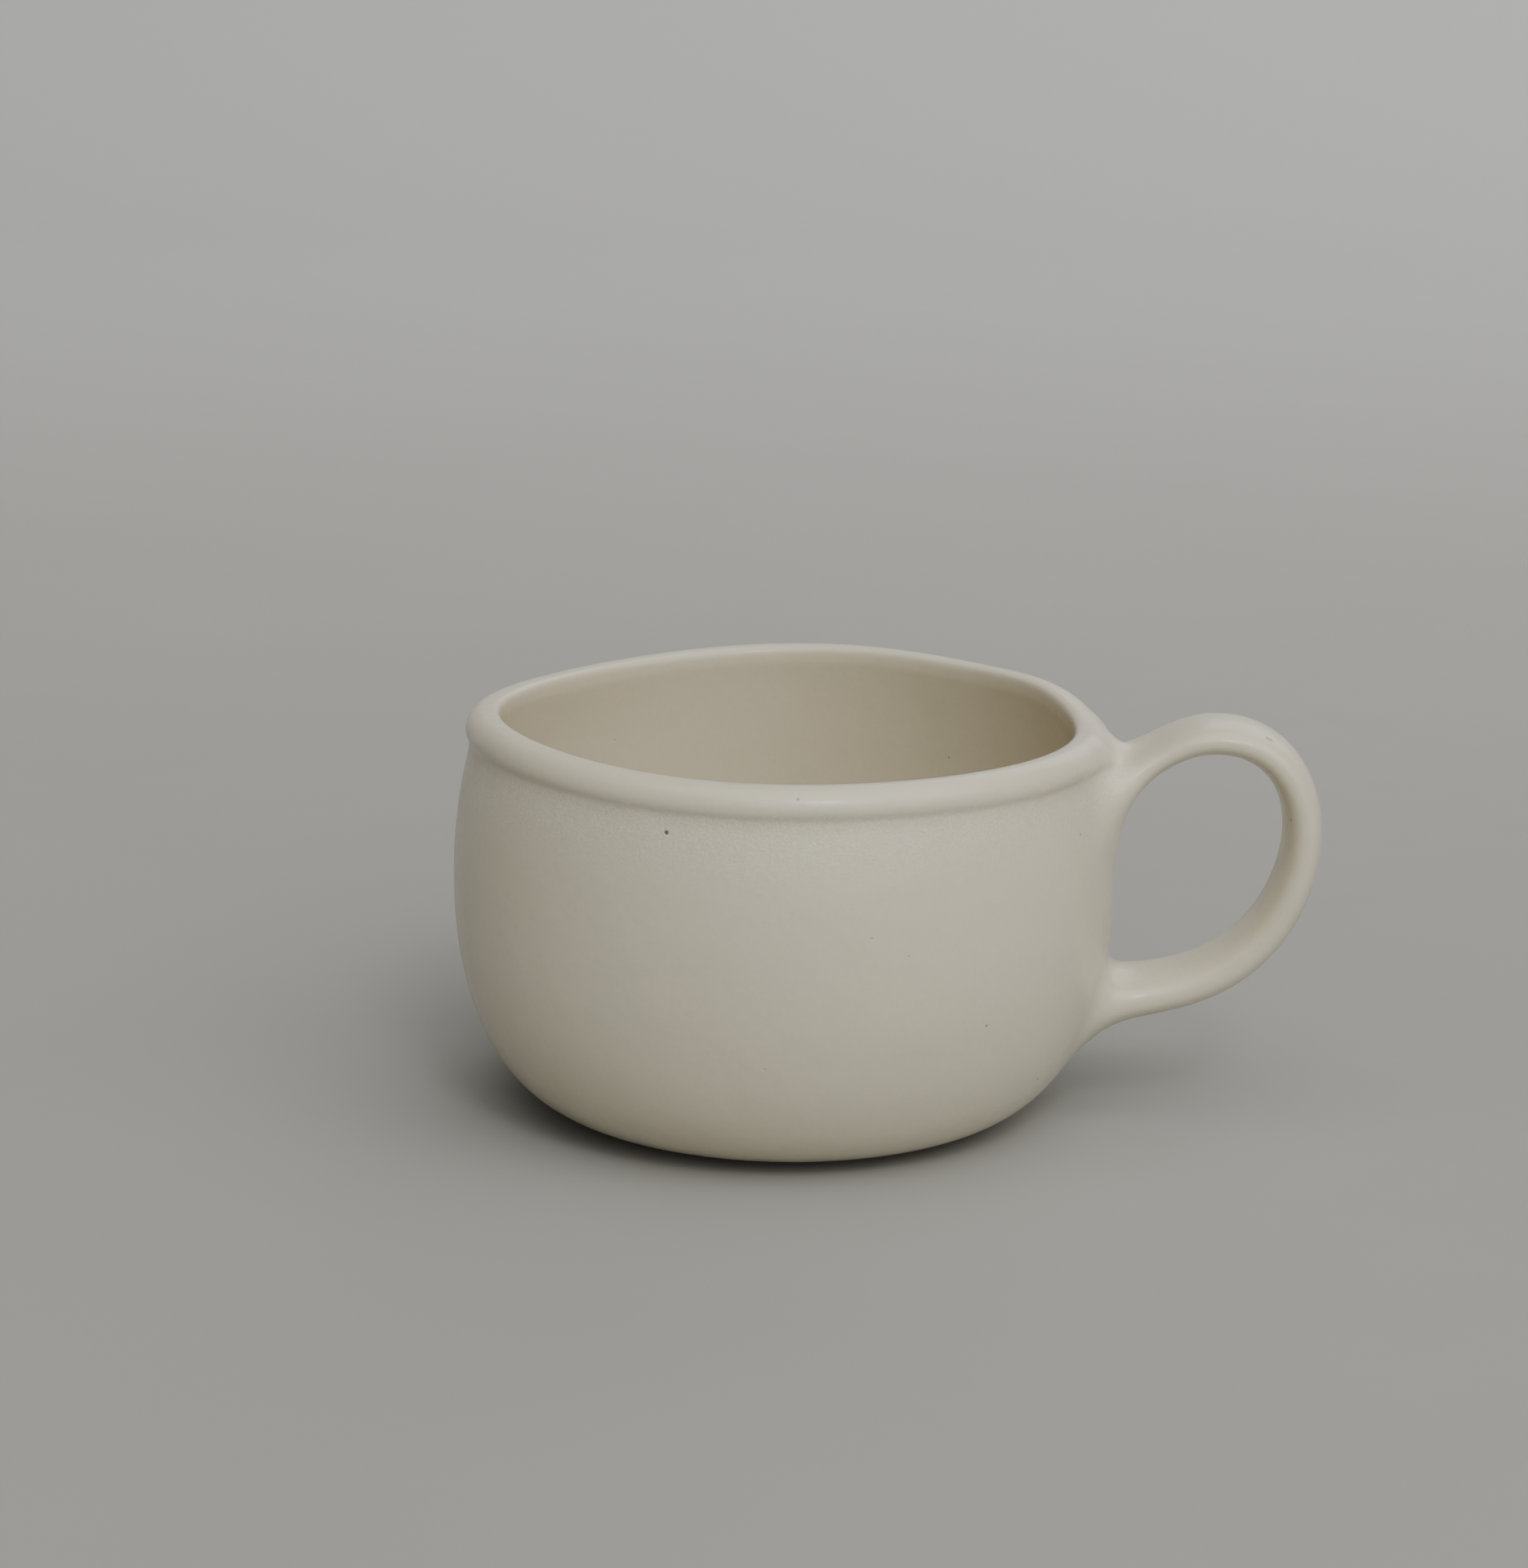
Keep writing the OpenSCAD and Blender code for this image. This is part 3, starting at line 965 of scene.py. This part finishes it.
def glaze_material(name, inside=False):
    """Satin ivory glaze with a sugary band under the roll, a few iron specks, pits and one nick;
    inside, with painted shade on the walls.
    """
    m = Nodes(name)
    radius, height = m.from_axis(), m.split(m.place)[2]
    on_wall = m.math("MULTIPLY", m.remap(radius, *WALL_INNER), m.remap(radius, *WALL_OUTER))
    pooled = m.math("MULTIPLY", m.remap(height, *POOL_LOW), m.remap(height, *POOL_HIGH))
    pooled = m.math("MULTIPLY", pooled, on_wall)
    grain = m.noise(2300, 3, 0.65)
    large, small = m.specks(*LARGE_SPECKS), m.specks(*SMALL_SPECKS)
    nick = m.spot(NICK_PLACE, NICK_SIZES)
    colour = glaze_colour(m, pooled, grain, inside)
    for mark, most in ((small, 0.65), (large, 0.85), (nick, 0.5)):
        colour = m.tint(colour, IRON, mark, most)
    m.put(m.shader.inputs["Base Color"], colour)
    m.put(m.shader.inputs["Roughness"], m.remap(m.noise(150, 4, 0.65), 0.3, 0.7, *GLAZE_ROUGHNESS))
    m.shader.inputs["IOR"].default_value = GLAZE_IOR
    # surface: hand-smoothed waves, orange peel, the sugary band, then pits and specks sunk into it
    normal = m.bump(m.noise(110, 3), WAVE_DEPTH, RELIEF)
    normal = m.bump(m.noise(620, 3, 0.55), PEEL_DEPTH, RELIEF, normal)
    sugar = m.math("MULTIPLY", m.math("MULTIPLY_ADD", pooled, 0.8, 0.2), grain)
    normal = m.bump(sugar, SUGAR_DEPTH, RELIEF, normal)
    sunk = m.math("MAXIMUM", m.math("MAXIMUM", m.specks(*PITS), nick), large)
    normal = m.bump(m.math("SUBTRACT", 1.0, sunk), PIT_DEPTH, 1.0, normal)
    m.put(m.shader.inputs["Normal"], normal)
    return m.material


CLAY_SPECKS = (520, 0.0003, 0.12)
CLAY_IRON = srgb(92, 72, 52)
TURNING_LINES = 7000  # radians of the fine turning lines per metre of radius


def clay_material(name, dark, light, grog):
    """Bare fired stoneware: warm buff, grog and iron specks, fine turning lines."""
    m = Nodes(name)
    colour = m.mix(m.remap(m.noise(60, 4, 0.6), 0.3, 0.7), dark, light)
    colour = m.tint(colour, grog, m.remap(m.noise(1500, 3, 0.7), 0.4, 0.7), 0.4)
    colour = m.tint(colour, CLAY_IRON, m.specks(*CLAY_SPECKS), 0.6)
    m.put(m.shader.inputs["Base Color"], colour)
    m.put(m.shader.inputs["Roughness"], m.remap(m.noise(400, 2), 0.3, 0.7, 0.82, 0.95))
    wobble = m.math("MULTIPLY_ADD", m.noise(90, 2), 0.0012, m.from_axis())
    lines = m.math("SINE", m.math("MULTIPLY", wobble, TURNING_LINES))
    normal = m.bump(lines, 0.00003, 0.7)
    normal = m.bump(m.noise(1900, 3, 0.7), 0.00008, 0.8, normal)
    m.put(m.shader.inputs["Normal"], normal)
    return m.material


# Painted shade and light: the ground is darker in front of and under the mug and paler towards the back
# and the backdrop, standing in for how the light falls off
GROUND_NEAR_PAINTED_SHADE = (srgb(150, 149, 145), srgb(155, 154, 150))
GROUND_FAR_PAINTED_LIGHT = srgb(188, 189, 187)
GROUND_PAINTED_FADE = (-0.15, 1.5)  # metres behind the mug


def floor_material(name):
    """Plain pale ground with a faint tooth; painted shade in front of and under the mug, painted light
    making it paler towards the back.
    """
    m = Nodes(name)
    near_painted_shade = m.mix(m.remap(m.noise(3, 3), 0.3, 0.7), *GROUND_NEAR_PAINTED_SHADE)
    # painted fade from the shaded near colour to the lit far colour, by distance behind the mug
    colour = m.mix(m.remap(m.split(m.place)[1], *GROUND_PAINTED_FADE), near_painted_shade, GROUND_FAR_PAINTED_LIGHT)
    m.put(m.shader.inputs["Base Color"], colour)
    m.put(m.shader.inputs["Roughness"], m.remap(m.noise(40, 2), 0.3, 0.7, 0.85, 0.95))
    m.put(m.shader.inputs["Normal"], m.bump(m.noise(700, 2), 0.00005, 0.4))
    return m.material


glaze = glaze_material("satin_glaze")
glaze_with_painted_shade = glaze_material("satin_glaze_inside_painted_shade", inside=True)
clay = clay_material("stoneware_clay", srgb(181, 158, 128), srgb(196, 175, 146), srgb(214, 198, 172))
slip = clay_material("luting_slip", srgb(186, 166, 138), srgb(200, 183, 157), srgb(212, 198, 175))

# ---------------------------------------------------------------- pieces

for piece_name, group, coating, node_name in (
    ("glaze_outside", outer_faces, glaze, "outer_glaze"),
    ("glaze_inside", inner_faces, glaze_with_painted_shade, "inner_glaze"),
    ("glaze_on_handle", tube_faces, glaze, "handle_glaze"),
):
    shell_points, shell_faces, shell_normals = shell(group)
    make_piece(piece_name, shell_points, shell_faces, coating, node_name, shell_normals)

for piece_name, (piece_points, piece_faces), node_name in (
    ("clay_wall", (clay_wall_points, clay_wall_faces), "cup_body"),
    ("clay_rim_roll", (clay_rim_points, clay_rim_faces), "rim_roll"),
    ("clay_foot_ring", (clay_foot_points, clay_foot_faces), "foot_ring"),
    ("clay_handle", (bar_points, bar_faces), "handle"),
):
    make_piece(piece_name, warp(piece_points), piece_faces, clay, node_name)

for piece_name, index, bar, node_name in (
    ("slip_upper_root", upper_index, upper_bar, "upper_luting_joint"),
    ("slip_lower_root", lower_index, lower_bar, "lower_luting_joint"),
):
    piece_points, piece_faces = collar(index, bar)
    make_piece(piece_name, warp(piece_points), piece_faces, slip, node_name)

# ---------------------------------------------------------------- floor, light and camera

# Ground in metres: level, then curved up behind the mug into a backdrop
FLOOR_FRONT, FLOOR_BACK, SWEEP_R, BACKDROP_TOP, FLOOR_HALF_W = -2.5, 1.6, 1.5, 4.0, 4
sweep = np.linspace(0.05, math.pi / 2, 24)
sweep_line = np.c_[FLOOR_BACK + SWEEP_R * np.sin(sweep), SWEEP_R * (1 - np.cos(sweep))]
floor_line = np.r_[
    [(FLOOR_FRONT, 0.0), (FLOOR_BACK, 0.0)],
    sweep_line,
    [(FLOOR_BACK + SWEEP_R, BACKDROP_TOP)],
]
across = np.linspace(-FLOOR_HALF_W, FLOOR_HALF_W, 17)
floor_grid = np.array([[(x, y, z) for x in across] for y, z in floor_line])
floor_mesh = bpy.data.meshes.new("ground")
floor_numbers = np.arange(floor_grid[..., 0].size).reshape(floor_grid.shape[:2])
floor_faces = grid_faces(floor_numbers, wrap_cols=False)[:, ::-1]
floor_mesh.from_pydata(floor_grid.reshape(-1, 3).tolist(), [], floor_faces.tolist())
floor_mesh.polygons.foreach_set("use_smooth", [True] * len(floor_mesh.polygons))
floor_mesh.materials.append(floor_material("ground"))
ground = bpy.data.objects.new("ground", floor_mesh)
bpy.context.scene.collection.objects.link(ground)

WARM, PALE, SKY = (1.0, 0.985, 0.955), (1.0, 0.99, 0.97), (0.96, 0.98, 1.0)
MUG_MIDDLE = Vector((0, 0, 0.035))

world = bpy.data.worlds.new("studio")
bpy.context.scene.world = world
world.use_nodes = True
background = world.node_tree.nodes["Background"]
background.inputs["Color"].default_value = (*SKY, 1)
background.inputs["Strength"].default_value = 0.07


def soft_light(name, azimuth, elevation, distance, size, watts, colour):
    """Square area light looking at the middle of the mug; azimuth 0 is the camera's side, 90 is +X."""
    a, e = math.radians(azimuth), math.radians(elevation)
    data = bpy.data.lights.new(name, "AREA")
    data.shape, data.size = "SQUARE", size
    data.energy, data.color = watts, colour
    light = bpy.data.objects.new(name, data)
    way = Vector((math.sin(a) * math.cos(e), -math.cos(a) * math.cos(e), math.sin(e)))
    light.location = MUG_MIDDLE + way * distance
    light.rotation_mode = "QUATERNION"
    light.rotation_quaternion = (-way).to_track_quat("-Z", "Y")
    bpy.context.scene.collection.objects.link(light)


soft_light("top", azimuth=45, elevation=68, distance=2.6, size=4.0, watts=66, colour=WARM)
soft_light("fill", azimuth=160, elevation=32, distance=3.0, size=2.0, watts=13, colour=PALE)
soft_light("sparkle", azimuth=17, elevation=42, distance=1.5, size=0.30, watts=3.6, colour=PALE)

# A very wide sun, so that its shadows are soft
SUN_STRENGTH, SUN_ANGLE, SUN_ELEVATION, SUN_AZIMUTH = 1.72, 80, 35, 28
sun_data = bpy.data.lights.new("key", "SUN")
sun_data.energy, sun_data.angle, sun_data.color = SUN_STRENGTH, math.radians(SUN_ANGLE), WARM
sun = bpy.data.objects.new("key", sun_data)
sun.rotation_euler = (math.radians(90 - SUN_ELEVATION), 0, math.radians(SUN_AZIMUTH))
bpy.context.scene.collection.objects.link(sun)

# Camera: a long lens a little above the rim; yaw and pitch from level, roll from upright
SENSOR, FOCAL = 36, 84.99375
EYE = Vector((0, -0.5975, 0.1973))
yaw, pitch, roll = -0.0062, math.radians(13.44), math.radians(0.96)
camera_data = bpy.data.cameras.new("camera")
camera_data.lens, camera_data.sensor_width = FOCAL, SENSOR
camera_data.clip_start, camera_data.clip_end = 0.05, 20
camera = bpy.data.objects.new("camera", camera_data)
forward = Vector((math.sin(yaw) * math.cos(pitch), math.cos(yaw) * math.cos(pitch), -math.sin(pitch)))
level_right = Vector((math.cos(yaw), -math.sin(yaw), 0))
level_up = level_right.cross(forward)
right = math.cos(roll) * level_right + math.sin(roll) * level_up
up = -math.sin(roll) * level_right + math.cos(roll) * level_up
turn = Matrix.Rotation(HANDLE_TURN, 3, "Z")
axes = Matrix((turn @ right, turn @ up, turn @ -forward)).transposed()
camera.matrix_world = Matrix.Translation(turn @ EYE) @ axes.to_4x4()
bpy.context.scene.collection.objects.link(camera)
bpy.context.scene.camera = camera
